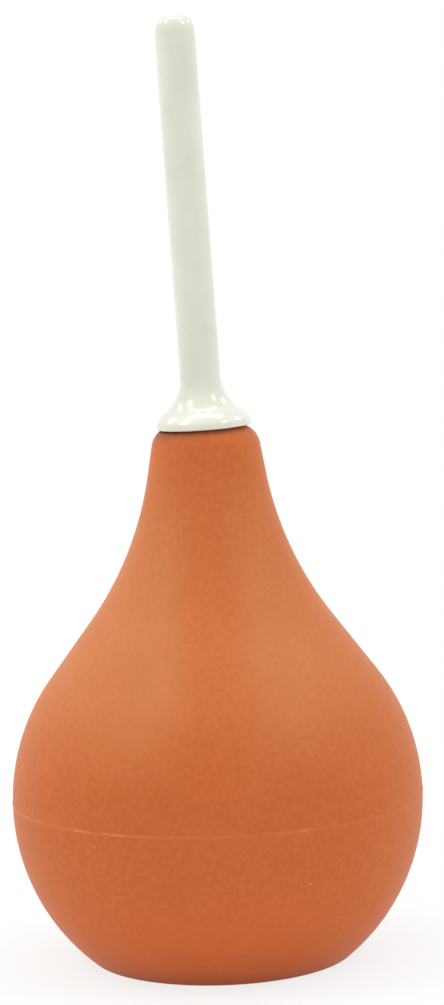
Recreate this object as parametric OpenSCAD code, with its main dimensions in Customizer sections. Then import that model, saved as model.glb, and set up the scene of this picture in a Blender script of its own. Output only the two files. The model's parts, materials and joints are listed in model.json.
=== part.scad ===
// Bulb syringe for enemas: a hollow pear-shaped rubber bulb on a flat foot,
// with a hard plastic nozzle pushed into its neck.
// Millimetres, +Z up, origin at the middle of the foot.
// The nozzle leans a little towards -X, and the rubber lip follows its flange.

/* [Bulb] */
// Diameter of the ball that forms the body
bulb_d = 80; // [70:0.5:90]
// Diameter of the foot, where the ball meets the ground, before its edge is rounded
foot_d = 50.4; // [42:0.2:58]
// Height of the rubber body, from the foot to the lip under the nozzle
body_h = 103.4; // [96:0.2:125]
// Rubber wall of the ball and the shoulder
wall = 2.8; // [2:0.1:4]
// Rubber floor over the foot
floor_t = 3.6; // [2.5:0.1:6]
// Rounding of the foot's edge
foot_round = 1.5; // [0.5:0.1:4]
// Rounding inside, between the floor and the ball's wall
floor_round = 4; // [1:0.5:8]
// Diameter of the shallow recess under the foot
recess_d = 30; // [16:0.5:36]
// Depth of that recess
recess_depth = 0.6; // [0.2:0.1:1.2]

/* [Parting line] */
// Height of the parting line above the ball's middle
parting_rise = 0.7; // [-3:0.1:3]
// How far the ridge along the parting line stands out
ridge_h = 0.15; // [0.05:0.05:0.5]
// Reach of the ridge above the parting line, and below it
ridge_w = 0.25; // [0.1:0.05:1]

/* [Neck] */
// Slope of the straight shoulder, in degrees from the vertical
shoulder_angle = 36.8; // [34:0.1:40]
// Radius of the hollow sweep from the shoulder into the neck
sweep_r = 65.5; // [20:0.5:80]
// Diameter of the neck at the lip, before the lip is rounded
neck_d = 19.9; // [18.6:0.1:24]
// Slope of the neck's side, in degrees from the vertical
neck_taper = 9.6; // [4:0.1:14]
// Rounding of the lip
lip_round = 4.4; // [1:0.1:5]
// How far the flange presses the lip flat
lip_press = 0.2; // [0.1:0.1:0.8]
// Width of the ledge round the bore, where it opens into the bulb
throat_ledge = 1.5; // [1:0.1:3]

/* [Nozzle] */
// Length of the nozzle above the lip
nozzle_len = 78.8; // [50:0.2:120]
// Outside diameter of the tube
tube_d = 7.8; // [6:0.1:9]
// Bore through the nozzle
nozzle_bore_d = 3.6; // [2:0.1:4]
// How far the tip's rounding narrows the tube, on the radius
tip_round = 2; // [0.5:0.1:3]
// Length of that rounding along the tube
tip_rise = 3.4; // [0.5:0.1:8]
// How far the nozzle leans, in degrees
nozzle_lean = 2.3; // [0:0.1:4]
// How far below the lip the nozzle's axis crosses the bulb's axis
lean_depth = 5.8; // [2:0.1:10]

/* [Flange] */
// Diameter of the flange's rim
rim_d = 18.4; // [16.5:0.1:19]
// Height of the rim's straight side
rim_side = 1; // [0.8:0.1:3]
// Rounding from the rim's side into the dome
rim_round = 1.2; // [0.3:0.1:2]
// Rounding of the rim's lower edge
rim_under_round = 0.6; // [0.1:0.05:0.7]
// Radius of the low dome on the rim
dome_r = 7; // [5:0.1:9]
// Slope where the dome starts, in degrees from the vertical
dome_start = 34; // [25:1:40]
// Slope where the dome ends, in a crease at the foot of the flare, in degrees from the vertical
dome_end = 60; // [50:1:66]
// Radius of the hollow flare from the dome to the tube
flare_r = 9; // [5:0.5:20]

/* [Spigot] */
// Length of the spigot inside the neck
spigot_len = 15; // [11:0.5:18]
// Diameter of the spigot between its barbs
spigot_d = 9.2; // [7:0.1:9.6]
// Diameter over the barbs
barb_d = 10.4; // [9.8:0.1:11.4]
// Number of barbs
barb_count = 3; // [1:1:4]
// Length of one barb's slope
barb_len = 2.4; // [1:0.1:3]
// Plain length between the flange and the first barb's edge
spigot_plain = 2.4; // [1:0.1:3]
// Length of the tapered lead at the spigot's end
spigot_lead = 1.8; // [1:0.1:2.5]
// How far the lead narrows the spigot, on the radius
lead_inset = 0.8; // [0.2:0.1:1.2]
// Gap round the barbs in the neck's bore, on the radius
spigot_gap = 0.05; // [0.02:0.01:0.1]
// Gap between the flange and the lip
seat_gap = 0.02; // [0.01:0.01:0.1]

/* [Hidden] */
$fn = 96;
// Largest step along an arc, in degrees
arc_step = 3;
// Most of the room beside it that a rounding or a barb may take up
room_share = 0.95;
// How far a cut runs past the face that it opens
cut_past = 1;
rubber_colour = [0.80, 0.43, 0.24];
plastic_colour = [0.93, 0.93, 0.88];

ball_r = bulb_d / 2;
inner_r = ball_r - wall;
// The ball's middle is as high as the foot's edge puts it
ball_h = sqrt(pow(ball_r, 2) - pow(foot_d / 2, 2));
parting_h = ball_h + parting_rise;
recess_r = recess_d / 2;

tube_r = tube_d / 2;
nozzle_bore_r = nozzle_bore_d / 2;
rim_r = rim_d / 2;
tip_inset = min(tip_round, (tube_r - nozzle_bore_r) * room_share);
rim_middle = [rim_r - rim_round, rim_side];
// The dome goes on from the rim's rounding, up to the edge that the flare stands on
dome_middle = rim_middle - (dome_r - rim_round) * [cos(dome_start), sin(dome_start)];
dome_edge = dome_middle + dome_r * [cos(dome_end), sin(dome_end)];
// The flare leaves that edge at this angle from the vertical, and runs straight into the tube
flare_turn = acos(1 - (dome_edge.x - tube_r) / flare_r);
flare_h = dome_edge.y + flare_r * sin(flare_turn);

spigot_r = spigot_d / 2;
barb_r = barb_d / 2;
barb_pitch = (spigot_len - spigot_plain - spigot_lead) / barb_count;
barb_slope = min(barb_len, barb_pitch * room_share);

neck_bore_r = barb_r + spigot_gap;
throat_r = neck_bore_r + throat_ledge;
// Height where the inner shoulder has narrowed to the throat
throat_h = ball_h + (inner_r - throat_r * cos(shoulder_angle)) / sin(shoulder_angle);
// The lip as moulded stands above the leaning seat all the way round
lip_top = body_h + rim_r * tan(nozzle_lean) + lip_press;

// Points along an arc about a middle, between two angles. skip leaves out the first points,
// where the arc goes on from the one before it.
function arc(middle, radius, from, to, skip = 0) =
    let (steps = max(2, ceil(abs(to - from) / arc_step)))
    [for (i = [skip : steps])
        let (a = from + (to - from) * i / steps)
        middle + radius * [cos(a), sin(a)]];

// Angle at the ball's middle of a height on a ball of this radius
function ball_angle(radius, height) = asin((height - ball_h) / radius);

// Middle of the rounding between a ball and a flat across its lower part
function corner_middle(radius, flat_h, rounding) =
    [sqrt(pow(radius - rounding, 2) - pow(ball_h - flat_h - rounding, 2)), flat_h + rounding];

// Angle where that rounding runs into the ball
function corner_angle(radius, flat_h, rounding) =
    ball_angle(radius - rounding, flat_h + rounding);

// Crest of the ridge, where the two halves of the bulb meet
function ridge_crest() = [ball_r * cos(ball_angle(ball_r, parting_h)) + ridge_h, parting_h];

// Hollow sweep, tangent to the shoulder and to the neck's side
function sweep() =
    let (
        // The shoulder's line touches the ball, and the neck's line runs down from the lip
        neck_foot_r = neck_d / 2 + body_h * tan(neck_taper),
        cross_h = (ball_r + ball_h * sin(shoulder_angle) - neck_foot_r * cos(shoulder_angle))
            / (sin(shoulder_angle) - tan(neck_taper) * cos(shoulder_angle)),
        cross = [neck_foot_r - cross_h * tan(neck_taper), cross_h],
        half_turn = (shoulder_angle - neck_taper) / 2,
        room_above = (lip_top - lip_round - cross_h) / cos(neck_taper),
        room_below = (cross_h - ball_h - ball_r * sin(shoulder_angle)) / cos(shoulder_angle),
        run = min(sweep_r * tan(half_turn), min(room_above, room_below) * room_share),
        radius = run / tan(half_turn),
        start = cross - run * [-sin(shoulder_angle), cos(shoulder_angle)],
        middle = start + radius * [cos(shoulder_angle), sin(shoulder_angle)]
    )
    arc(middle, radius, 180 + shoulder_angle, 180 + neck_taper);

// Rounded lip, tangent to the neck's side and level at its top
function lip() =
    let (
        middle_h = lip_top - lip_round,
        side_r = neck_d / 2 + (body_h - middle_h) * tan(neck_taper),
        middle = [side_r - lip_round / cos(neck_taper), middle_h]
    )
    arc(middle, lip_round, neck_taper, 90);

// Stands what is drawn upright, with the flange's underside at z = 0, where the nozzle leans
module on_nozzle_axis() {
    translate([0, 0, body_h - lean_depth])
        rotate([0, -nozzle_lean, 0])
            translate([0, 0, lean_depth])
                children();
}

// Lower half of the bulb: foot, floor and bowl, up to the parting line
module bulb_lower() {
    foot_angle = corner_angle(ball_r, 0, foot_round);
    floor_angle = corner_angle(inner_r, floor_t, floor_round);
    outside = concat(
        [[0, recess_depth], [recess_r - recess_depth, recess_depth], [recess_r, 0]],
        arc(corner_middle(ball_r, 0, foot_round), foot_round, -90, foot_angle),
        arc([0, ball_h], ball_r, foot_angle, ball_angle(ball_r, parting_h - ridge_w), skip = 1),
        [ridge_crest()]
    );
    inside = concat(
        arc([0, ball_h], inner_r, ball_angle(inner_r, parting_h), floor_angle),
        arc(corner_middle(inner_r, floor_t, floor_round), floor_round, floor_angle, -90, skip = 1),
        [[0, floor_t]]
    );
    color(rubber_colour)
        rotate_extrude()
            polygon(concat(outside, inside));
}

// Upper half of the bulb: shoulder and neck, with the nozzle's bore and leaning seat
module bulb_upper() {
    outside = concat(
        [ridge_crest()],
        arc([0, ball_h], ball_r, ball_angle(ball_r, parting_h + ridge_w), shoulder_angle),
        sweep(),
        lip(),
        [[0, lip_top]]
    );
    inside = concat(
        [[0, throat_h], [throat_r, throat_h]],
        arc([0, ball_h], inner_r, shoulder_angle, ball_angle(inner_r, parting_h))
    );
    bore_depth = body_h - throat_h + cut_past;
    color(rubber_colour)
        difference() {
            rotate_extrude()
                polygon(concat(outside, inside));
            on_nozzle_axis() {
                translate([0, 0, -bore_depth])
                    cylinder(r = neck_bore_r, h = bore_depth + cut_past);
                translate([0, 0, -seat_gap])
                    cylinder(r = neck_d, h = lip_round + cut_past);
            }
        }
}

// Spigot with its barbs, from its end up to the flange
function spigot_outline() = concat(
    [[0, -spigot_len], [spigot_r - lead_inset, -spigot_len], [spigot_r, spigot_lead - spigot_len]],
    [for (i = [barb_count - 1 : -1 : 0])
        let (edge_h = -spigot_plain - i * barb_pitch)
        each [[spigot_r, edge_h - barb_slope], [barb_r, edge_h], [spigot_r, edge_h]]],
    [[spigot_r, 0]]
);

// Rim, low dome and flare, from the flange's underside up to the tube
function flange_outline() = concat(
    arc([rim_r - rim_under_round, rim_under_round], rim_under_round, -90, 0),
    arc(rim_middle, rim_round, 0, dome_start),
    arc(dome_middle, dome_r, dome_start, dome_end, skip = 1),
    arc([tube_r + flare_r, flare_h], flare_r, 180 + flare_turn, 180, skip = 1)
);

// Tip of the tube, rounded as a quarter of an ellipse
function tip_outline() = concat(
    [for (p = arc([0, 0], 1, 0, 90))
        [tube_r - tip_inset * (1 - p.x), nozzle_len - tip_rise * (1 - p.y)]],
    [[0, nozzle_len]]
);

// Nozzle: one turned shape with a straight bore from end to end
module nozzle() {
    color(plastic_colour)
        on_nozzle_axis()
            difference() {
                rotate_extrude()
                    polygon(concat(spigot_outline(), flange_outline(), tip_outline()));
                translate([0, 0, -spigot_len - cut_past])
                    cylinder(r = nozzle_bore_r, h = spigot_len + nozzle_len + 2 * cut_past);
            }
}

bulb_lower();
bulb_upper();
nozzle();
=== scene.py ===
# %% [markdown]
# # A rubber bulb syringe with a hard nozzle
#
# The object is a hollow rubber bulb, shaped like a pear, that stands on a flat foot. A slim white
# nozzle is pushed into its neck. Both are turned shapes, so this lesson draws half an outline for
# each of them and lets one Geometry Nodes tree turn it round.
#
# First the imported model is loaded. It is the frame that everything here has to fit: its nodes give
# sizes and places, and its bodies say what moves. Lengths are in metres.

# %% Load the frame
import json
import math

import bpy
from mathutils import Matrix, Vector


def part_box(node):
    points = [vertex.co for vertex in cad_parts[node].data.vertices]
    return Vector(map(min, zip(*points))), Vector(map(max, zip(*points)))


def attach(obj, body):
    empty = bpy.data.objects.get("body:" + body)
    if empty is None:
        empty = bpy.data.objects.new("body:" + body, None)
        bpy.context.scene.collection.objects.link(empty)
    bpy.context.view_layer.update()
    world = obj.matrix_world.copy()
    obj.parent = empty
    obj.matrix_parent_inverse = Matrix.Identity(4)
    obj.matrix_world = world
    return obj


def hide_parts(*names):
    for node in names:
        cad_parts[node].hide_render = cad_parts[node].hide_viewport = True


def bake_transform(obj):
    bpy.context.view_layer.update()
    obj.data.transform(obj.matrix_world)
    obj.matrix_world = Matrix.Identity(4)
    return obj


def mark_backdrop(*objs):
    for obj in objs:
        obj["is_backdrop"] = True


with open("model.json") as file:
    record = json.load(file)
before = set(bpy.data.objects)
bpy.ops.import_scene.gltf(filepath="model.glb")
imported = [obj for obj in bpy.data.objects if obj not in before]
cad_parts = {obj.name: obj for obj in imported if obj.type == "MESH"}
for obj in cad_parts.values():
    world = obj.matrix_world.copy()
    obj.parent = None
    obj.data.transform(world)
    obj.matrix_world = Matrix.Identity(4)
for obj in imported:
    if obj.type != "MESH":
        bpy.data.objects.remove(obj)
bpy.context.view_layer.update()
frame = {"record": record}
mounts = {mount["name"]: mount for mount in frame["record"]["mounts"]}
MM = 0.001

# %% [markdown]
# ## Camera
#
# The photograph was taken from a little over half a metre, at about the height of the nozzle's
# middle, with the camera tipped down and rolled slightly, so the object seems to lean. A long lens
# keeps the nozzle and the foot in nearly the same proportion. The numbers below say where that camera
# stood. Its focal length was worked out in pixels of the picture, and Blender wants it in millimetres
# on its own sensor, so it is scaled by the picture's longer side.

# %% Camera at the photograph's viewpoint
PICTURE_HEIGHT = 1005
FOCAL_PIXELS = 3028
SENSOR_WIDTH = 36.0
CAMERA_DISTANCE = 582.5 * MM
CAMERA_HEIGHT = 152.1 * MM
CAMERA_NEAREST = 10.0 * MM
PAN, TILT, ROLL = (math.radians(angle) for angle in (0.27, 6.20, 1.92))


def in_scene(made):
    """Puts a new object into the scene, and gives it back."""
    bpy.context.scene.collection.objects.link(made)
    return made


def photograph_camera():
    """Camera that looks along +Y from the front, turned by pan, then tilt, then roll."""
    data = bpy.data.cameras.new("photograph")
    data.sensor_width = SENSOR_WIDTH
    data.lens = SENSOR_WIDTH * FOCAL_PIXELS / PICTURE_HEIGHT
    data.clip_start = CAMERA_NEAREST
    ahead = math.cos(TILT)
    forward = Vector((ahead * math.sin(PAN), ahead * math.cos(PAN), -math.sin(TILT)))
    level = Vector((math.cos(PAN), -math.sin(PAN), 0.0))
    rise = level.cross(forward)
    right = level * math.cos(ROLL) - rise * math.sin(ROLL)
    up = level * math.sin(ROLL) + rise * math.cos(ROLL)
    turn = Matrix((right, up, -forward)).transposed().to_4x4()
    camera = in_scene(bpy.data.objects.new("photograph", data))
    camera.matrix_world = Matrix.Translation((0.0, -CAMERA_DISTANCE, CAMERA_HEIGHT)) @ turn
    bpy.context.scene.camera = camera
    return camera


camera = photograph_camera()
print("camera lens %.1f mm at" % camera.data.lens, [round(v, 3) for v in camera.location])

# %% [markdown]
# ## Sizes from the frame
#
# The frame already knows the main sizes. The lower half of the bulb ends at the parting line, so its
# box gives that height and the radius of the ridge there. The outlet mount lies on the nozzle's axis
# at the tip, and its axis gives the lean. The rest of the sizes are named where they are first used.

# %% Read the main sizes
MOULDED_RIDGE = 0.15 * MM
PARTING_RISE = 0.7 * MM
NOZZLE_LENGTH = 78.8 * MM

lower_half_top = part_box("bulb_lower")[1]
parting_height = lower_half_top.z
ball_height = parting_height - PARTING_RISE
ball_radius = math.hypot(lower_half_top.x - MOULDED_RIDGE, PARTING_RISE)

tip = Vector(mounts["outlet"]["pos_m"])
nozzle_axis = Vector(mounts["outlet"]["axis"])
nozzle_bore = mounts["outlet"]["dims"]["r_mm"] * MM
tube_radius = mounts["tube"]["dims"]["r_mm"] * MM
seat_middle = tip - nozzle_axis * NOZZLE_LENGTH
lean = math.atan2(nozzle_axis.x, nozzle_axis.z)
# The nozzle's axis crosses the bulb's own axis a little below the lip
pivot = seat_middle - nozzle_axis * (seat_middle.x / nozzle_axis.x)
print("ball radius %.1f mm, middle at %.1f mm" % (ball_radius / MM, ball_height / MM))
print("nozzle leans %.2f degrees about a point %.1f mm up" % (math.degrees(lean), pivot.z / MM))

# %% [markdown]
# ## Drawing half an outline
#
# A turned shape needs only half of its outline: distance from the axis and height, point by point.
# A curve object could hold it, but plain points are easier to lay exactly. Round stretches are arcs,
# so a small helper lays points along an arc. Long straight stretches get extra points too, because
# the bulb has to bend there when it is squeezed.

# %% Helpers for outlines
ARC_STEP = 2.0


def arc(middle, radius, start, stop, step=ARC_STEP):
    """Points along an arc about a middle (distance, height), with angles in degrees."""
    count = max(2, math.ceil(abs(stop - start) / step))
    angles = [math.radians(start + (stop - start) * i / count) for i in range(count + 1)]
    return [(middle[0] + radius * math.cos(a), middle[1] + radius * math.sin(a)) for a in angles]


def filled(points, spacing):
    """The same outline with points added along stretches that are longer than the spacing."""
    dense = [points[0]]
    for last, point in zip(points, points[1:]):
        pieces = max(1, math.ceil(math.dist(last, point) / spacing))
        for i in range(1, pieces + 1):
            share = i / pieces
            dense.append(tuple(a + (b - a) * share for a, b in zip(last, point)))
    return dense


print("a quarter turn is drawn with", len(arc((0.0, 0.0), 1.0, 0.0, 90.0)), "points")

# %% [markdown]
# ## A lathe in Geometry Nodes
#
# Blender's Screw modifier could turn the outline, but the nozzle leans, and the neck gives way to it:
# the bore leans too, and the lip is pressed flat where the flange sits on it. A node tree can do all
# of that at once. The helper below adds a node and feeds its inputs in order, so that the tree can be
# read from top to bottom.

# %% Helper that builds a node tree


class TreeBuilder:
    """A Geometry Nodes tree with named inputs, and short calls that add its nodes."""

    def __init__(self, name, inputs):
        self.tree = bpy.data.node_groups.new(name, "GeometryNodeTree")
        for title, kind in inputs.items():
            self.tree.interface.new_socket(title, in_out="INPUT", socket_type="NodeSocket" + kind)
        self.tree.interface.new_socket("Geometry", in_out="OUTPUT", socket_type="NodeSocketGeometry")
        self.given = self.tree.nodes.new("NodeGroupInput").outputs

    def add(self, kind, *inputs, **settings):
        """New node whose inputs are set or linked in order; None leaves one as it is."""
        node = self.tree.nodes.new(kind)
        for name, value in settings.items():
            setattr(node, name, value)
        usable = [socket for socket in node.inputs if socket.enabled]
        for socket, value in zip(usable, inputs):
            if isinstance(value, bpy.types.NodeSocket):
                self.tree.links.new(value, socket)
            elif value is not None:
                socket.default_value = value
        return node

    def out(self, kind, *inputs, **settings):
        """The first output in use of a new node."""
        node = self.add(kind, *inputs, **settings)
        return next(socket for socket in node.outputs if socket.enabled)

    def math(self, operation, *inputs):
        return self.out("ShaderNodeMath", *inputs, operation=operation)

    def vector(self, operation, *inputs):
        return self.out("ShaderNodeVectorMath", *inputs, operation=operation)

    def end(self, mesh):
        self.tree.links.new(mesh, self.tree.nodes.new("NodeGroupOutput").inputs["Geometry"])


# %% [markdown]
# The tree starts with a flat grid that has one row for each outline point, and one column more than
# it has segments, because the last column closes the turn. A grid point finds its row from its place
# along X and its angle round the axis from its place along Y. It then reads the outline point of its
# row, and so each row wraps into a ring.

# %% Rows become rings
GRID_SIZE = 1.0

lathe = TreeBuilder("lathe", {
    "Geometry": "Geometry", "Profile": "Object", "Segments": "Int", "Lean": "Float",
    "Pivot": "Vector", "Seat": "Vector", "Seat Axis": "Vector", "Crease": "Float",
    "Finish": "Material"})
given = lathe.given
profile_points = lathe.add("GeometryNodeObjectInfo", given["Profile"]).outputs["Geometry"]
rows = lathe.add("GeometryNodeAttributeDomainSize", profile_points).outputs["Point Count"]
columns = lathe.math("ADD", given["Segments"], 1.0)
grid = lathe.out("GeometryNodeMeshGrid", GRID_SIZE, GRID_SIZE, rows, columns)

place = lathe.out("GeometryNodeInputPosition")
on_grid = lathe.add("ShaderNodeSeparateXYZ", place).outputs
along_rows = lathe.math("MULTIPLY", lathe.math("ADD", on_grid["X"], GRID_SIZE / 2),
                        lathe.math("SUBTRACT", rows, 1.0))
row = lathe.math("ROUND", along_rows)
angle = lathe.math("MULTIPLY", lathe.math("ADD", on_grid["Y"], GRID_SIZE / 2), -math.tau)


def from_row(data_type, value):
    """A value of the outline's points, read for the row that a grid point is in."""
    return lathe.out("GeometryNodeSampleIndex", profile_points, value, row,
                     data_type=data_type, domain="POINT")


def number_from_row(name):
    return from_row("FLOAT", lathe.out("GeometryNodeInputNamedAttribute", name, data_type="FLOAT"))


drawn = lathe.add("ShaderNodeSeparateXYZ", from_row("FLOAT_VECTOR", place)).outputs
ring = lathe.out("ShaderNodeCombineXYZ",
                 lathe.math("MULTIPLY", drawn["X"], lathe.math("COSINE", angle)),
                 lathe.math("MULTIPLY", drawn["X"], lathe.math("SINE", angle)),
                 drawn["Z"])
print("the lathe takes", [socket.name for socket in given if socket.name])

# %% [markdown]
# Next each ring swings about the pivot, by as much as its outline point says that it follows the
# nozzle. What then stands above the seat is pushed straight back down on to it, which is how a soft
# lip gives way under a hard flange.

# %% Lean and press
leaning = lathe.out("ShaderNodeVectorRotate", ring, given["Pivot"], given["Lean"],
                    rotation_type="Y_AXIS")
swung = lathe.out("ShaderNodeMix", number_from_row("follows_nozzle"), ring, leaning,
                  data_type="VECTOR")
from_seat = lathe.vector("SUBTRACT", swung, given["Seat"])
above_seat = lathe.math("MAXIMUM", lathe.vector("DOT_PRODUCT", from_seat, given["Seat Axis"]), 0.0)
pressed = lathe.vector("SUBTRACT", swung, lathe.vector("SCALE", given["Seat Axis"], above_seat))
print("the lathe has", len(lathe.tree.nodes), "nodes so far")

# %% [markdown]
# Two named attributes go along with the mesh for the finishes: the place of each point at rest, so
# that a pattern stays on the rubber when it is squeezed, and how near it is to the parting line. The
# ends of the grid meet where the turn closes, so points in one place are merged. Edges that bend by
# more than the crease angle stay sharp.

# %% Attributes, edges and material
SAME_POINT = 1e-6

# The seam is stored while each grid point still knows its row
mesh = lathe.out("GeometryNodeStoreNamedAttribute", grid, None, "seam", number_from_row("seam"),
                 data_type="FLOAT", domain="POINT")
mesh = lathe.out("GeometryNodeSetPosition", mesh, None, pressed)
mesh = lathe.out("GeometryNodeMergeByDistance", mesh, None, SAME_POINT)
mesh = lathe.out("GeometryNodeStoreNamedAttribute", mesh, None, "rest_place", place,
                 data_type="FLOAT_VECTOR", domain="POINT")
mesh = lathe.out("GeometryNodeSetShadeSmooth", mesh, None, True, domain="FACE")
bend = lathe.add("GeometryNodeInputMeshEdgeAngle").outputs["Unsigned Angle"]
sharp = lathe.out("FunctionNodeCompare", bend, given["Crease"],
                  data_type="FLOAT", operation="GREATER_THAN")
mesh = lathe.out("GeometryNodeSetShadeSmooth", mesh, sharp, False, domain="EDGE")
mesh = lathe.out("GeometryNodeRealizeInstances", mesh)
mesh = lathe.out("GeometryNodeSetMaterial", mesh, None, given["Finish"])
lathe.end(mesh)
print("the lathe has", len(lathe.tree.nodes), "nodes in all")

# %% [markdown]
# ## Turning a piece
#
# The outline becomes a small mesh of points, with one number for each point that says how far it
# follows the nozzle's lean and one that marks the parting line. The tree runs on it as a modifier,
# whose inputs are known by their sockets' identifiers. The result is copied into a plain mesh,
# because only plain meshes can ride on a body.

# %% Turn a profile into a piece


def profile_object(name, outline, follows, seam):
    """Chain of the outline's points (distance, height), with the numbers that the lathe reads."""
    data = bpy.data.meshes.new(name)
    points = [(distance, 0.0, height) for distance, height in outline]
    data.from_pydata(points, [(i, i + 1) for i in range(len(points) - 1)], [])
    for title, values in (("follows_nozzle", follows), ("seam", seam)):
        data.attributes.new(title, "FLOAT", "POINT").data.foreach_set("value", values)
    return in_scene(bpy.data.objects.new(name, data))


def turned(name, outline, finish, segments, crease, seat, follows, seam):
    """Piece turned from an outline, and pressed where it passes the seat; crease in degrees."""
    profile = profile_object(name + "_profile", outline, follows, seam)
    blank = in_scene(bpy.data.objects.new(name + "_blank", bpy.data.meshes.new(name + "_blank")))
    sizes = {"Profile": profile, "Segments": segments, "Lean": lean, "Pivot": tuple(pivot),
             "Seat": tuple(seat), "Seat Axis": tuple(nozzle_axis),
             "Crease": math.radians(crease), "Finish": finish}
    modifier = blank.modifiers.new("lathe", "NODES")
    modifier.node_group = lathe.tree
    for socket in lathe.tree.interface.items_tree:
        if socket.in_out == "INPUT" and socket.name in sizes:
            modifier[socket.identifier] = sizes[socket.name]
    evaluated = blank.evaluated_get(bpy.context.evaluated_depsgraph_get())
    piece = in_scene(bpy.data.objects.new(name, bpy.data.meshes.new_from_object(evaluated)))
    piece.data.name = name
    for scratch in (blank, profile):
        bpy.data.objects.remove(scratch)
    print(name, "has", len(piece.data.vertices), "points and", len(piece.data.polygons), "faces")
    return piece


# %% [markdown]
# ## Colours as they look
#
# Colours are written the way a colour picker shows them, and a helper turns them into the linear
# values that shaders use. Another helper adds and links shader nodes, so that a finish reads as a
# short list of what is mixed with what.

# %% Colours in linear light
WHITE = (1.0, 1.0, 1.0, 1.0)


def colour(text):
    """Linear RGBA of a colour written as six hex digits, by the sRGB curve."""
    channels = [int(text[i:i + 2], 16) / 255 for i in (0, 2, 4)]
    linear = [c / 12.92 if c <= 0.04045 else ((c + 0.055) / 1.055) ** 2.4 for c in channels]
    return (*linear, 1.0)


def grey(level):
    """RGBA of a plain level, where a number has to pass as a colour."""
    return (level, level, level, 1.0)


print("half grey is", round(colour("808080")[0], 3), "in linear light")

# %% Helper for finishes


class Finish:
    """The nodes of a material or a world, and short calls that add and link them."""

    def __init__(self, owner, shader="Principled BSDF", **constants):
        owner.use_nodes = True
        self.nodes, self.links = owner.node_tree.nodes, owner.node_tree.links
        self.shader = self.nodes[shader]
        self.shade(**constants)

    def shade(self, **values):
        """Sets or links the shader's own sockets, named with _ for a space."""
        for name, value in values.items():
            self.feed(self.shader.inputs[name.replace("_", " ")], value)

    def feed(self, socket, value):
        if isinstance(value, bpy.types.NodeSocket):
            self.links.new(value, socket)
        else:
            socket.default_value = value

    def node(self, kind, inputs, **settings):
        """Adds a node, sets or links its inputs, and gives back its outputs."""
        made = self.nodes.new(kind)
        for name, value in settings.items():
            setattr(made, name, value)
        for name, value in inputs.items():
            self.feed(made.inputs[name], value)
        return made.outputs

    def attribute(self, name):
        return self.node("ShaderNodeAttribute", {}, attribute_name=name)

    def split(self, place):
        return self.node("ShaderNodeSeparateXYZ", {"Vector": place})

    def noise(self, place, scale, detail=2.0, roughness=0.5):
        return self.node("ShaderNodeTexNoise", {"Vector": place, "Scale": scale, "Detail": detail,
                                                "Roughness": roughness})["Fac"]

    def stretch(self, value, low, high, to_low=0.0, to_high=1.0):
        """Maps a range of values to another one, held at its ends."""
        return self.node("ShaderNodeMapRange", {"Value": value, "From Min": low, "From Max": high,
                                                "To Min": to_low, "To Max": to_high})["Result"]

    def ramp(self, value, stops):
        """Level read off a line through (place, level) stops, with places from 0 to 1."""
        made = self.nodes.new("ShaderNodeValToRGB")
        self.feed(made.inputs["Fac"], value)
        marks = made.color_ramp.elements
        while len(marks) < len(stops):
            marks.new(0.5)
        for mark, (spot, level) in zip(marks, stops):
            mark.position, mark.color = spot, grey(level)
        return made.outputs["Color"]

    def mix(self, share, first, second):
        """First colour, covered by a share of the second."""
        made = self.nodes.new("ShaderNodeMix")
        made.data_type = "RGBA"
        usable = [socket for socket in made.inputs if socket.enabled]
        for socket, value in zip(usable, (share, first, second)):
            self.feed(socket, value)
        return next(socket for socket in made.outputs if socket.enabled)

    def product(self, first, *others):
        for other in others:
            first = self.node("ShaderNodeMath", {0: first, 1: other}, operation="MULTIPLY")[0]
        return first

    def bump(self, height, strength, distance, **under):
        inputs = {"Height": height, "Strength": strength, "Distance": distance}
        return self.node("ShaderNodeBump", {**inputs, **under})["Normal"]


# %% [markdown]
# ## Rubber
#
# The bulb is moulded in a terracotta rubber that has gone slightly matt. One flat colour would look
# like paint, so what has happened to the skin is laid over it in layers, each mixed over the last,
# and some layers are painted light and shade: a painted highlight on the shoulder, painted light at
# the foot, a painted shadow under the flange and painted glints on the ridge. A painted picture could
# hold them too, but it would need the skin to be unwrapped, and noise doesn't. Every layer reads the
# rubber's own rest places, so nothing slides when the bulb is squeezed. A thin warm sheen lifts the
# edges, as on a dusty skin.

# %% Start the rubber
terracotta = bpy.data.materials.new("terracotta_rubber")
rubber = Finish(terracotta, Specular_IOR_Level=0.13, Sheen_Weight=0.1, Sheen_Roughness=0.6,
                Sheen_Tint=colour("FFD28E"))
rest = rubber.attribute("rest_place")["Vector"]
across, rearward, height = rubber.split(rest)
width_share = rubber.stretch(across, -ball_radius, ball_radius)
print("started", terracotta.name)

# %% [markdown]
# The rubber itself clouds over a centimetre or two, has a pale bloom on its finest grain, and is
# mottled with deeper spots of about a millimetre. Noise mostly keeps to its middle, so that middle is
# stretched over the whole mix. Scales are counts in a metre.

# %% Clouds, grain and mottle
RUBBER_RED = colour("CB6935")
RUBBER_PALE = colour("CF6D39")
RUBBER_DEEP = colour("BE5A29")
RUBBER_BLOOM = colour("D0885A")
CLOUD_SCALE = 55.0
GRAIN_SCALE = 1400.0
MOTTLE_SCALE = 900.0
NOISE_MIDDLE = (0.35, 0.65)
GRAIN_TOP = (0.45, 0.8)
GRAIN_BLOOM_MOST = 0.12
MOTTLE_MOST = 0.46

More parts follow.
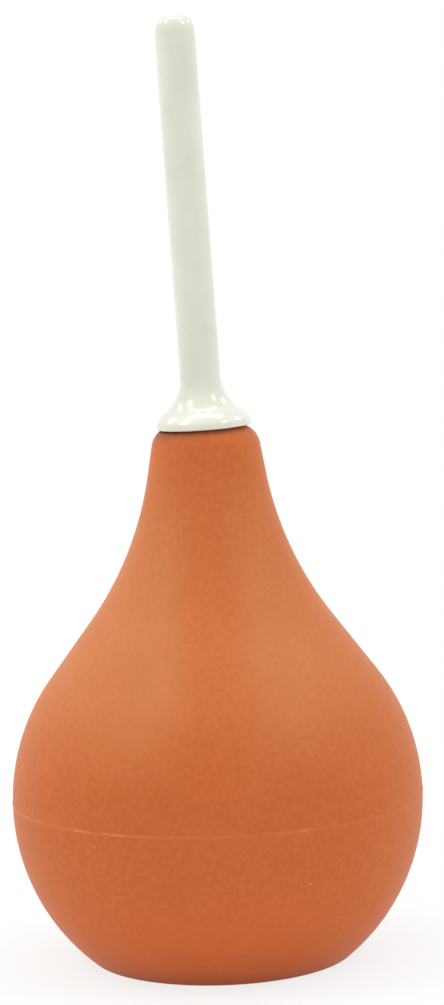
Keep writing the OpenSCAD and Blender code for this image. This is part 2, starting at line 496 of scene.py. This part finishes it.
clouds = rubber.stretch(rubber.noise(rest, CLOUD_SCALE, detail=4.0), *NOISE_MIDDLE)
grain = rubber.noise(rest, GRAIN_SCALE, detail=3.0, roughness=0.6)
mottle = rubber.noise(rest, MOTTLE_SCALE, detail=4.0, roughness=0.6)
skin = rubber.mix(clouds, RUBBER_RED, RUBBER_PALE)
skin = rubber.mix(rubber.stretch(grain, *GRAIN_TOP, 0.0, GRAIN_BLOOM_MOST), skin, RUBBER_BLOOM)
skin = rubber.mix(rubber.stretch(mottle, *NOISE_MIDDLE, 0.0, MOTTLE_MOST), skin, RUBBER_DEEP)
print("clouds of %.0f mm, mottle of %.1f mm" % (1000 / CLOUD_SCALE, 1000 / MOTTLE_SCALE))

# %% [markdown]
# A pale band is painted over the shoulder as a painted highlight, where the lamps above and on the
# left would lie on the rubber. It fades out down the ball's side and up towards the lip, and is weaker
# in front, most of all in the middle. Two height ranges and a line through a few stops say how strong
# it is, and the clouds make it uneven. Near the foot the wall turns under, and the rubber there is
# painted brighter, as painted light.

# %% Painted highlight on the shoulder, painted light at the foot
# Pale colour painted over the shoulder as a painted highlight
SHOULDER_PAINTED_HIGHLIGHT = colour("D8A872")
HIGHLIGHT_GROWS = (38.0 * MM, 56.0 * MM)
HIGHLIGHT_FADES = (79.0 * MM, 104.0 * MM)
HIGHLIGHT_AT_LIP = 0.1
HIGHLIGHT_STRENGTH = (0.18, 0.26)
# How strong the painted highlight is in front from left to right, in shares of the bulb's width
HIGHLIGHT_ACROSS_FRONT = ((0.0, 0.4), (0.2, 0.8), (0.3, 1.0), (0.38, 1.0), (0.46, 0.35), (0.53, 0.35),
              (0.62, 0.85), (0.74, 0.75), (1.0, 0.3))
HIGHLIGHT_BEHIND = 0.8
FRONT_ENDS = (0.0, 12.0 * MM)
# Brighter rubber painted near the foot as painted light
FOOT_PAINTED_LIGHT = colour("D46A36")
FOOT_LIGHT_HEIGHTS = (2.0 * MM, 22.0 * MM)
FOOT_LIGHT_MOST = 0.7

grows = rubber.stretch(height, *HIGHLIGHT_GROWS)
fades = rubber.stretch(height, *HIGHLIGHT_FADES, 1.0, HIGHLIGHT_AT_LIP)
behind = rubber.stretch(rearward, *FRONT_ENDS)
highlight_across = rubber.mix(behind, rubber.ramp(width_share, HIGHLIGHT_ACROSS_FRONT), grey(HIGHLIGHT_BEHIND))
uneven_highlight = rubber.stretch(clouds, 0.0, 1.0, *HIGHLIGHT_STRENGTH)
# Mix in the shoulder's painted highlight
skin = rubber.mix(rubber.product(grows, fades, highlight_across, uneven_highlight), skin, SHOULDER_PAINTED_HIGHLIGHT)
# Mix in the painted light at the foot
skin = rubber.mix(rubber.stretch(height, *FOOT_LIGHT_HEIGHTS, FOOT_LIGHT_MOST, 0.0), skin, FOOT_PAINTED_LIGHT)
print("bloom lies from %.0f to %.0f mm up" % (HIGHLIGHT_GROWS[0] / MM, HIGHLIGHT_FADES[1] / MM))

# %% [markdown]
# A dark ring is painted on the lip as a painted shadow under the flange, darker on the left. The ring's
# depth is measured down the nozzle's axis from the seat, so it leans with the flange.

# %% Painted shadow on the lip under the flange
# Dark colour of the painted shadow under the flange
LIP_PAINTED_SHADOW = colour("6D2228")
LIP_SHADOW_DEPTH = 2.5 * MM
# How dark the ring is from the seat downwards, in shares of its depth
LIP_SHADOW_FADE = ((0.0, 0.8), (0.1, 0.62), (0.36, 0.45), (0.54, 0.22), (1.0, 0.0))
LIP_SHADOW_SIDES = (-8.0 * MM, 4.0 * MM)
LIP_SHADOW_ON_RIGHT = 0.3

below_seat = rubber.node("ShaderNodeVectorMath", {0: rest, 1: tuple(seat_middle)},
                         operation="SUBTRACT")["Vector"]
depth = rubber.node("ShaderNodeVectorMath", {0: below_seat, 1: tuple(-nozzle_axis)},
                    operation="DOT_PRODUCT")["Value"]
lip_shadow = rubber.ramp(rubber.stretch(depth, 0.0, LIP_SHADOW_DEPTH), LIP_SHADOW_FADE)
shadow_sided = rubber.stretch(across, *LIP_SHADOW_SIDES, 1.0, LIP_SHADOW_ON_RIGHT)
# Mix in the painted shadow under the flange
skin = rubber.mix(rubber.product(lip_shadow, shadow_sided), skin, LIP_PAINTED_SHADOW)
print("the ring on the lip is %.1f mm deep" % (LIP_SHADOW_DEPTH / MM))

# %% [markdown]
# The ridge of the parting line is worn pale and painted with bright glints where its crest would
# catch the light, clearest on the left and broken up along its length. The lathe's seam attribute
# says where the ridge is. A few specks of dust stick to the whole skin: Voronoi cells give each speck
# a place, and only the cells with the brightest random colour get one.

# %% Worn ridge with painted glints, and specks of dust
# Pale colour of the worn ridge, with its painted glints
SEAM_PALE_AND_GLINTS = colour("EBAA68")
# How clear the parting line is from left to right, in shares of the bulb's width
SEAM_CLEAR = ((0.0, 0.35), (0.06, 0.6), (0.15, 0.66), (0.30, 0.48), (0.39, 0.17), (0.55, 0.17),
              (0.59, 0.35), (0.66, 0.35), (0.71, 0.6), (0.75, 0.2), (1.0, 0.2))
WEAR_SCALE = 170.0
WEAR_MIDDLE = (0.38, 0.62)
BREAK_SCALE = 900.0
BREAK_MIDDLE = (0.42, 0.6)
SEAM_LEAST = 0.3
DUST = colour("EBB898")
SPECK_SCALE = 400.0
SPECK_EDGE = (0.045, 0.075)
SPECK_STRENGTH = 0.8
SPECK_CHOSEN = (0.82, 0.84)

wear = rubber.stretch(rubber.noise(rest, WEAR_SCALE, detail=3.0), *WEAR_MIDDLE, SEAM_LEAST, 1.0)
breaks = rubber.stretch(rubber.noise(rest, BREAK_SCALE, detail=1.0), *BREAK_MIDDLE, SEAM_LEAST, 1.0)
worn_and_glints = rubber.product(rubber.ramp(width_share, SEAM_CLEAR), wear, breaks)
# Mix in the worn ridge and its painted glints
skin = rubber.mix(rubber.product(rubber.attribute("seam")["Fac"], worn_and_glints), skin, SEAM_PALE_AND_GLINTS)

cells = rubber.node("ShaderNodeTexVoronoi", {"Vector": rest, "Scale": SPECK_SCALE})
speck = rubber.stretch(cells["Distance"], *SPECK_EDGE, SPECK_STRENGTH, 0.0)
chosen = rubber.stretch(cells["Color"], *SPECK_CHOSEN)
skin = rubber.mix(rubber.product(speck, chosen), skin, DUST)
print("specks of about %.1f mm" % (2 * SPECK_EDGE[1] * 1000 / SPECK_SCALE))

# %% [markdown]
# The grain also makes the gloss uneven and stands up as the finest relief, on top of slow ripples
# from the mould.

# %% Gloss and relief of the rubber
RIPPLE_SCALE = 90.0
GRAIN_RANGE = (0.3, 0.7)
RUBBER_ROUGHNESS = (0.43, 0.53)

ripples = rubber.bump(rubber.noise(rest, RIPPLE_SCALE), strength=0.15, distance=0.3 * MM)
relief = rubber.bump(grain, strength=0.08, distance=0.1 * MM, Normal=ripples)
rubber.shade(Base_Color=skin, Normal=relief,
             Roughness=rubber.stretch(grain, *GRAIN_RANGE, *RUBBER_ROUGHNESS))
print(terracotta.name, "has", len(rubber.nodes), "nodes")

# %% [markdown]
# ## Nozzle plastic
#
# The nozzle is a hard, glossy, slightly greenish white. Its tone clouds faintly, as moulded plastic
# does, and its gloss is broken by the finest of ripples and handling marks. A clear coat over the
# base gives the sharp sparkles that the flange shows, and the base under it stays softer.

# %% Plastic finish
PLASTIC_WHITE = colour("E4E6DA")
PLASTIC_CLOUD = colour("DADCCD")
PLASTIC_CLOUD_SCALE = 70.0
HANDLING_SCALE = 260.0
HANDLING_RANGE = (0.35, 0.7)
PLASTIC_ROUGHNESS = (0.16, 0.27)
PLASTIC_RIPPLE_SCALE = 300.0

white_plastic = bpy.data.materials.new("white_plastic")
plastic = Finish(white_plastic, Specular_IOR_Level=1.0, Coat_Weight=1.0, Coat_Roughness=0.06)
moulded = plastic.attribute("rest_place")["Vector"]
tone = plastic.stretch(plastic.noise(moulded, PLASTIC_CLOUD_SCALE, detail=3.0), *NOISE_MIDDLE)
handled = plastic.noise(moulded, HANDLING_SCALE, detail=4.0, roughness=0.65)
waves = plastic.noise(moulded, PLASTIC_RIPPLE_SCALE)
plastic.shade(Base_Color=plastic.mix(tone, PLASTIC_WHITE, PLASTIC_CLOUD),
              Roughness=plastic.stretch(handled, *HANDLING_RANGE, *PLASTIC_ROUGHNESS),
              Normal=plastic.bump(waves, strength=0.05, distance=0.2 * MM))
print(white_plastic.name, "has", len(plastic.nodes), "nodes")

# %% [markdown]
# ## The bulb
#
# The two rubber halves are cured into one skin, so the bulb is one piece here: a ball with a flat
# foot, a straight shoulder that leaves the ball as a tangent, a hollow sweep into the neck and a
# rounded lip. A stretched ball could come close, but an outline of arcs and tangents keeps the
# moulded sizes. The inside is turned with it, so the wall has its real thickness and the bore shows
# when the nozzle is pulled out. The bore follows the nozzle's lean. The lip stands upright and rises
# a little above its seat, so that the leaning flange presses it flat, more on one side than the other.

# %% Bulb sizes
WALL = 2.8 * MM
FLOOR_THICKNESS = 3.6 * MM
FOOT_ROUNDING = 1.5 * MM
FLOOR_ROUNDING = 4.0 * MM
RECESS_RADIUS = 15.0 * MM
RECESS_DEPTH = 0.6 * MM
BODY_HEIGHT = 103.4 * MM
SHOULDER = 36.8
NECK_TAPER = 9.6
NECK_RADIUS = 9.95 * MM
SWEEP_RADIUS = 65.5 * MM
LIP_ROUNDING = 4.4 * MM
LIP_RISE = 0.57 * MM
SEAT_GAP = 0.02 * MM
NECK_BORE = 5.25 * MM
THROAT_LEDGE = 1.5 * MM
inner_radius = ball_radius - WALL


def along(angle):
    """Unit step (distance, height) up a side that leans in by an angle from the vertical."""
    return Vector((-math.sin(math.radians(angle)), math.cos(math.radians(angle))))


def off(angle):
    """Unit step square to that side, away from the axis."""
    return Vector((math.cos(math.radians(angle)), math.sin(math.radians(angle))))


def ball_angle(radius, height):
    """Angle above the ball's middle, in degrees, of a height on a ball of that radius."""
    return math.degrees(math.asin((height - ball_height) / radius))


def ball_foot(radius, flat, rounding):
    """Arc from a flat up into the ball, and the angle on the ball where it ends."""
    angle = ball_angle(radius - rounding, flat + rounding)
    middle = ((radius - rounding) * math.cos(math.radians(angle)), flat + rounding)
    return arc(middle, rounding, -90.0, angle, step=8.0), angle


print("inside radius %.1f mm, wall %.1f mm" % (inner_radius / MM, WALL / MM))

# %% [markdown]
# The sweep touches two straight lines, the shoulder and the side of the neck, so its place follows
# from where they cross: it starts and ends the same run away from the crossing.

# %% Sweep and lip of the neck


def neck_sweep():
    """Hollow arc that is tangent to the shoulder and to the side of the neck."""
    ball = Vector((0.0, ball_height))
    on_shoulder = ball + off(SHOULDER) * ball_radius
    on_neck = Vector((NECK_RADIUS, BODY_HEIGHT))
    apart = on_neck - on_shoulder
    up_shoulder, up_neck = along(SHOULDER), along(NECK_TAPER)
    reach = apart.cross(up_neck) / up_shoulder.cross(up_neck)
    crossing = on_shoulder + up_shoulder * reach
    run = SWEEP_RADIUS * math.tan(math.radians(SHOULDER - NECK_TAPER) / 2)
    middle = crossing - up_shoulder * run + off(SHOULDER) * SWEEP_RADIUS
    return arc(middle, SWEEP_RADIUS, 180.0 + SHOULDER, 180.0 + NECK_TAPER, step=1.5)


def neck_lip():
    """Rounding of the lip as it is moulded, tangent to the neck's side and level at its top."""
    height = BODY_HEIGHT + LIP_RISE - LIP_ROUNDING
    slope = math.radians(NECK_TAPER)
    side = NECK_RADIUS + (BODY_HEIGHT - height) * math.tan(slope)
    middle = (side - LIP_ROUNDING / math.cos(slope), height)
    return arc(middle, LIP_ROUNDING, NECK_TAPER, 90.0, step=1.6)


print("sweep runs from %.1f to %.1f mm" % (neck_sweep()[0][1] / MM, neck_sweep()[-1][1] / MM))

# %% [markdown]
# The halves meet in a low moulding ridge. Handling has worn it lower and broader than it was moulded,
# so it is drawn as a soft wave along the ball. Then the outline goes once round the rubber: from the
# middle of the foot up the outside, over the lip, down the bore and round the inside.

# %% Bulb outline
RIDGE_REACH = 0.4 * MM
WORN_RIDGE = 0.09 * MM
RIDGE_STEPS = 4
BEND_SPACING = 2.5 * MM


def ridge():
    """Low rounded ridge along the parting line."""
    points = []
    for i in range(-RIDGE_STEPS, RIDGE_STEPS + 1):
        height = parting_height + RIDGE_REACH * i / RIDGE_STEPS
        swell = WORN_RIDGE * (0.5 + 0.5 * math.cos(math.pi * i / RIDGE_STEPS))
        radius = ball_radius * math.cos(math.radians(ball_angle(ball_radius, height)))
        points.append((radius + swell, height))
    return points


def bulb_outside():
    """Outline from the middle of the foot to the top of the lip."""
    ball = (0.0, ball_height)
    inset = RECESS_RADIUS - RECESS_DEPTH
    recess = [(0.0, RECESS_DEPTH), (inset, RECESS_DEPTH), (RECESS_RADIUS, 0.0)]
    foot, foot_angle = ball_foot(ball_radius, 0.0, FOOT_ROUNDING)
    ridge_low = ball_angle(ball_radius, parting_height - RIDGE_REACH)
    ridge_high = ball_angle(ball_radius, parting_height + RIDGE_REACH)
    below = arc(ball, ball_radius, foot_angle, ridge_low)
    above = arc(ball, ball_radius, ridge_high, SHOULDER)
    return recess + foot + below[1:-1] + ridge() + above[1:] + neck_sweep() + neck_lip()


def bulb_inside(throat_radius, throat_height):
    """Outline from the top of the bore to the middle of the floor inside."""
    floor, floor_angle = ball_foot(inner_radius, FLOOR_THICKNESS, FLOOR_ROUNDING)
    bore = [(NECK_BORE, BODY_HEIGHT), (NECK_BORE, throat_height)]
    cavity = arc((0.0, ball_height), inner_radius, SHOULDER, floor_angle)
    return (bore + [(throat_radius, throat_height)] + cavity + floor[::-1][1:]
            + [(0.0, FLOOR_THICKNESS)])


# The throat is where the inner shoulder has come in to the ledge below the bore
throat_radius = NECK_BORE + THROAT_LEDGE
throat_drop = inner_radius - throat_radius * math.cos(math.radians(SHOULDER))
throat_height = ball_height + throat_drop / math.sin(math.radians(SHOULDER))
bulb_outline = filled(bulb_outside() + bulb_inside(throat_radius, throat_height), BEND_SPACING)
print("outline of", len(bulb_outline), "points, throat at %.1f mm" % (throat_height / MM))

# %% Turn the bulb
BULB_SEGMENTS = 256
BULB_CREASE = 35.0


def bore_follows(distance, height):
    """1 on the bore, which leans with the nozzle, and 0 on the rest of the bulb."""
    on_bore = abs(distance - NECK_BORE) < SAME_POINT and height > throat_height - SAME_POINT
    return 1.0 if on_bore else 0.0


def seam_mark(distance, height):
    """1 on the crest of the ridge, fading to 0 at its edges, on the outside only."""
    away = abs(height - parting_height) / RIDGE_REACH
    return max(0.0, 1.0 - away) if distance > inner_radius + WALL / 2 else 0.0


bulb = turned("bulb", bulb_outline, terracotta, BULB_SEGMENTS, BULB_CREASE,
              seat=seat_middle - nozzle_axis * SEAT_GAP,
              follows=[bore_follows(*point) for point in bulb_outline],
              seam=[seam_mark(*point) for point in bulb_outline])

# %% [markdown]
# ## The nozzle
#
# The nozzle is one hard moulding, so it is turned in one piece too. Tubes and rings could be joined
# for it, but a single outline leaves no joints. It runs up the barbed spigot that the rubber grips,
# round the rim that sits on the lip, over a low dome to a faint crease, up the hollow flare into the
# straight tube, over the rounded tip and back down the bore. The whole outline follows the lean, and
# nothing of it is pressed, so its seat is put out of reach above the tip.

# %% Spigot of the nozzle
SPIGOT_LENGTH = 15.0 * MM
SPIGOT_RADIUS = 4.6 * MM
SPIGOT_PLAIN = 2.4 * MM
SPIGOT_LEAD = 1.8 * MM
LEAD_INSET = 0.8 * MM
BARB_RADIUS = 5.2 * MM
BARB_COUNT = 3
BARB_LENGTH = 2.4 * MM


def spigot_outline():
    """Lead-in and barbs, from the end inside the neck up to the seat; heights are above the lip."""
    pitch = (SPIGOT_LENGTH - SPIGOT_PLAIN - SPIGOT_LEAD) / BARB_COUNT
    points = [(nozzle_bore, -SPIGOT_LENGTH), (SPIGOT_RADIUS - LEAD_INSET, -SPIGOT_LENGTH),
              (SPIGOT_RADIUS, SPIGOT_LEAD - SPIGOT_LENGTH)]
    for i in reversed(range(BARB_COUNT)):
        edge = -SPIGOT_PLAIN - i * pitch
        points += [(SPIGOT_RADIUS, edge - BARB_LENGTH), (BARB_RADIUS, edge), (SPIGOT_RADIUS, edge)]
    return points + [(SPIGOT_RADIUS, 0.0)]


print("spigot drawn with", len(spigot_outline()), "points")

# %% Flange and tip of the nozzle
RIM_RADIUS = 9.2 * MM
RIM_SIDE = 1.0 * MM
RIM_ROUNDING = 1.2 * MM
RIM_UNDER_ROUNDING = 0.3 * MM
RIM_LIFT = 0.25 * MM
SEAT_RADIUS = 7.2 * MM
DOME_RADIUS = 7.0 * MM
DOME_START, DOME_END = 34.0, 60.0
FLARE_RADIUS = 9.0 * MM
TIP_INSET = 2.0 * MM
TIP_RISE = 3.4 * MM


def flange_outline():
    """Seat, rim, low dome and flare; the dome goes on from the rim's rounding and ends in a crease."""
    # The rim's edge clears the lip by a hair, which shows as a dark line under it
    seat = [(SEAT_RADIUS, 0.0), (SEAT_RADIUS + RIM_LIFT, RIM_LIFT)]
    under = (RIM_RADIUS - RIM_UNDER_ROUNDING, RIM_LIFT + RIM_UNDER_ROUNDING)
    edge = (RIM_RADIUS - RIM_ROUNDING, RIM_SIDE)
    slope = math.radians(DOME_START)
    inward = DOME_RADIUS - RIM_ROUNDING
    middle = (edge[0] - inward * math.cos(slope), edge[1] - inward * math.sin(slope))
    dome = arc(middle, DOME_RADIUS, DOME_START, DOME_END)
    foot = dome[-1]
    # The flare starts on the dome's upper edge, and is tangent to the tube
    turn = math.acos(1.0 - (foot[0] - tube_radius) / FLARE_RADIUS)
    flare_middle = (tube_radius + FLARE_RADIUS, foot[1] + FLARE_RADIUS * math.sin(turn))
    flare = arc(flare_middle, FLARE_RADIUS, 180.0 + math.degrees(turn), 180.0)
    return (seat + arc(under, RIM_UNDER_ROUNDING, -90.0, 0.0, step=12.0)
            + arc(edge, RIM_ROUNDING, 0.0, DOME_START, step=6.0)
            + dome[1:] + flare[1:])


def tip_outline():
    """Quarter of an ellipse over the tip, and back down the bore."""
    quarter = arc((0.0, 0.0), 1.0, 0.0, 90.0, step=5.0)
    dome = [(tube_radius - TIP_INSET * (1.0 - x), NOZZLE_LENGTH - TIP_RISE * (1.0 - y))
            for x, y in quarter]
    return dome + [(nozzle_bore, NOZZLE_LENGTH), (nozzle_bore, -SPIGOT_LENGTH)]


print("flare ends %.1f mm above the lip" % (flange_outline()[-1][1] / MM))

# %% Turn the nozzle
NOZZLE_SEGMENTS = 128
NOZZLE_CREASE = 18.0

# Heights above the lip become heights along the bulb's axis, before the lean
lip_along_axis = pivot.z + (seat_middle - pivot).length
above_lip = spigot_outline() + flange_outline() + tip_outline()
nozzle_outline = [(distance, height + lip_along_axis) for distance, height in above_lip]
nozzle = turned("nozzle_piece", nozzle_outline, white_plastic, NOZZLE_SEGMENTS, NOZZLE_CREASE,
                seat=tip + nozzle_axis,
                follows=[1.0] * len(nozzle_outline),
                seam=[0.0] * len(nozzle_outline))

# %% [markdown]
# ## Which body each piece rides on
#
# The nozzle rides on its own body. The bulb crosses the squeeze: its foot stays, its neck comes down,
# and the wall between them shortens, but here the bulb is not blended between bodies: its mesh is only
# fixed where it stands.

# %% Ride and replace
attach(nozzle, "nozzle")
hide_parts("nozzle")
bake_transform(bulb)
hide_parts("bulb_lower", "bulb_upper")
print("pieces:", [piece.name for piece in (bulb, nozzle)])

# %% [markdown]
# ## Floor and background
#
# The photograph has a plain white background. The floor here is pale and shows itself to the camera
# mostly as plain white, with a little of its own shading left so that it keeps the object's shadow.
# The world does the same for the camera and for reflections, and lights the rest softly, more from
# behind than from the front. Brighter lamps could whiten the floor too, but they would bleach the
# object.

# %% Floor
FLOOR_PALE = colour("F4F4F2")
FLOOR_ROUGHNESS = 0.9
FLOOR_HALF = 3.0
FLOOR_HEIGHT = -0.05 * MM
SHADOW_REACH = 26.0 * MM
WHITE_FROM = 75.0 * MM
PLAIN_NEAR = 0.8


def seen_directly(finish):
    """1 for what the camera sees straight, in a reflection or through glass, and 0 for soft light."""
    path = finish.node("ShaderNodeLightPath", {})
    seen = path["Is Camera Ray"]
    for ray in ("Is Glossy Ray", "Is Transmission Ray"):
        seen = finish.node("ShaderNodeMath", {0: seen, 1: path[ray]}, operation="MAXIMUM")[0]
    return seen


def floor_material():
    """Pale floor that shows its shadow near the object and fades to plain white further out."""
    material = bpy.data.materials.new("white_floor")
    floor = Finish(material, Base_Color=FLOOR_PALE, Roughness=FLOOR_ROUGHNESS)
    plain = floor.node("ShaderNodeEmission", {"Color": WHITE})[0]
    place = floor.node("ShaderNodeTexCoord", {})["Object"]
    away = floor.node("ShaderNodeVectorMath", {0: place}, operation="LENGTH")["Value"]
    ranges = {"Value": away, "From Min": SHADOW_REACH, "From Max": WHITE_FROM, "To Min": PLAIN_NEAR}
    fade = floor.node("ShaderNodeMapRange", ranges, interpolation_type="SMOOTHSTEP")["Result"]
    share = floor.product(seen_directly(floor), fade)
    shaded = floor.shader.outputs[0]
    mixed = floor.node("ShaderNodeMixShader", {0: share, 1: shaded, 2: plain})[0]
    floor.feed(floor.nodes["Material Output"].inputs["Surface"], mixed)
    return material


def floor_sheet(half):
    data = bpy.data.meshes.new("floor")
    corners = [(-half, -half), (half, -half), (half, half), (-half, half)]
    data.from_pydata([(x, y, FLOOR_HEIGHT) for x, y in corners], [], [(0, 1, 2, 3)])
    data.materials.append(floor_material())
    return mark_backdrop(in_scene(bpy.data.objects.new("floor", data)))


floor_sheet(FLOOR_HALF)
print("floor is plain white from %.0f mm out" % (WHITE_FROM / MM))

# %% White world
LIGHT_FROM_FRONT = 0.635
LIGHT_FROM_BEHIND = 0.82


def white_world(front, behind):
    """World that is plain white to look at, and lights softly, less from the front than from behind."""
    world = bpy.data.worlds.new("white_studio")
    studio = Finish(world, "Background", Color=WHITE)
    way = studio.split(studio.node("ShaderNodeTexCoord", {})["Generated"])
    soft = studio.stretch(way["Y"], -1.0, 1.0, front, behind)
    level = {"Factor": seen_directly(studio), "A": soft, "B": 1.0}
    studio.shade(Strength=studio.node("ShaderNodeMix", level)["Result"])
    bpy.context.scene.world = world


white_world(LIGHT_FROM_FRONT, LIGHT_FROM_BEHIND)
print("world:", bpy.context.scene.world.name)

# %% [markdown]
# ## Lamps
#
# One long panel overhead lights the shoulder and draws the bright line along the flange. Four small
# lamps at the sides and behind add little light, but make the sparkles on the glossy plastic.

# %% Lamps
WARM_WHITE = (1.0, 0.97, 0.86)
AIM = Vector((0.0, 0.0, 100.0 * MM))


def panel(name, azimuth, elevation, distance, width, depth, watts):
    """Lamp aimed at the object; azimuth 0 is the front and grows towards the right."""
    data = bpy.data.lights.new(name, "AREA")
    data.shape = "RECTANGLE"
    data.size, data.size_y = width, depth
    data.energy, data.color = watts, WARM_WHITE
    turn, rise = math.radians(azimuth), math.radians(elevation)
    flat = math.cos(rise)
    way = Vector((flat * math.sin(turn), -flat * math.cos(turn), math.sin(rise)))
    lamp = in_scene(bpy.data.objects.new(name, data))
    lamp.location = AIM + way * distance
    lamp.rotation_euler = (-way).to_track_quat("-Z", "Y").to_euler()


def small_lamp(name, azimuth, elevation, width, watts):
    panel(name, azimuth, elevation, distance=0.8, width=width, depth=width, watts=watts)


panel("overhead", azimuth=180.0, elevation=88.0, distance=0.9, width=0.80, depth=0.20, watts=2.7)
small_lamp("left_rear", azimuth=-120.0, elevation=40.0, width=0.12, watts=0.6)
small_lamp("right_rear", azimuth=116.0, elevation=38.0, width=0.12, watts=0.3)
small_lamp("left_lamp", azimuth=-72.0, elevation=52.0, width=0.10, watts=1.0)
small_lamp("right_lamp", azimuth=65.0, elevation=47.0, width=0.10, watts=0.7)
bpy.context.scene.view_settings.view_transform = "Standard"
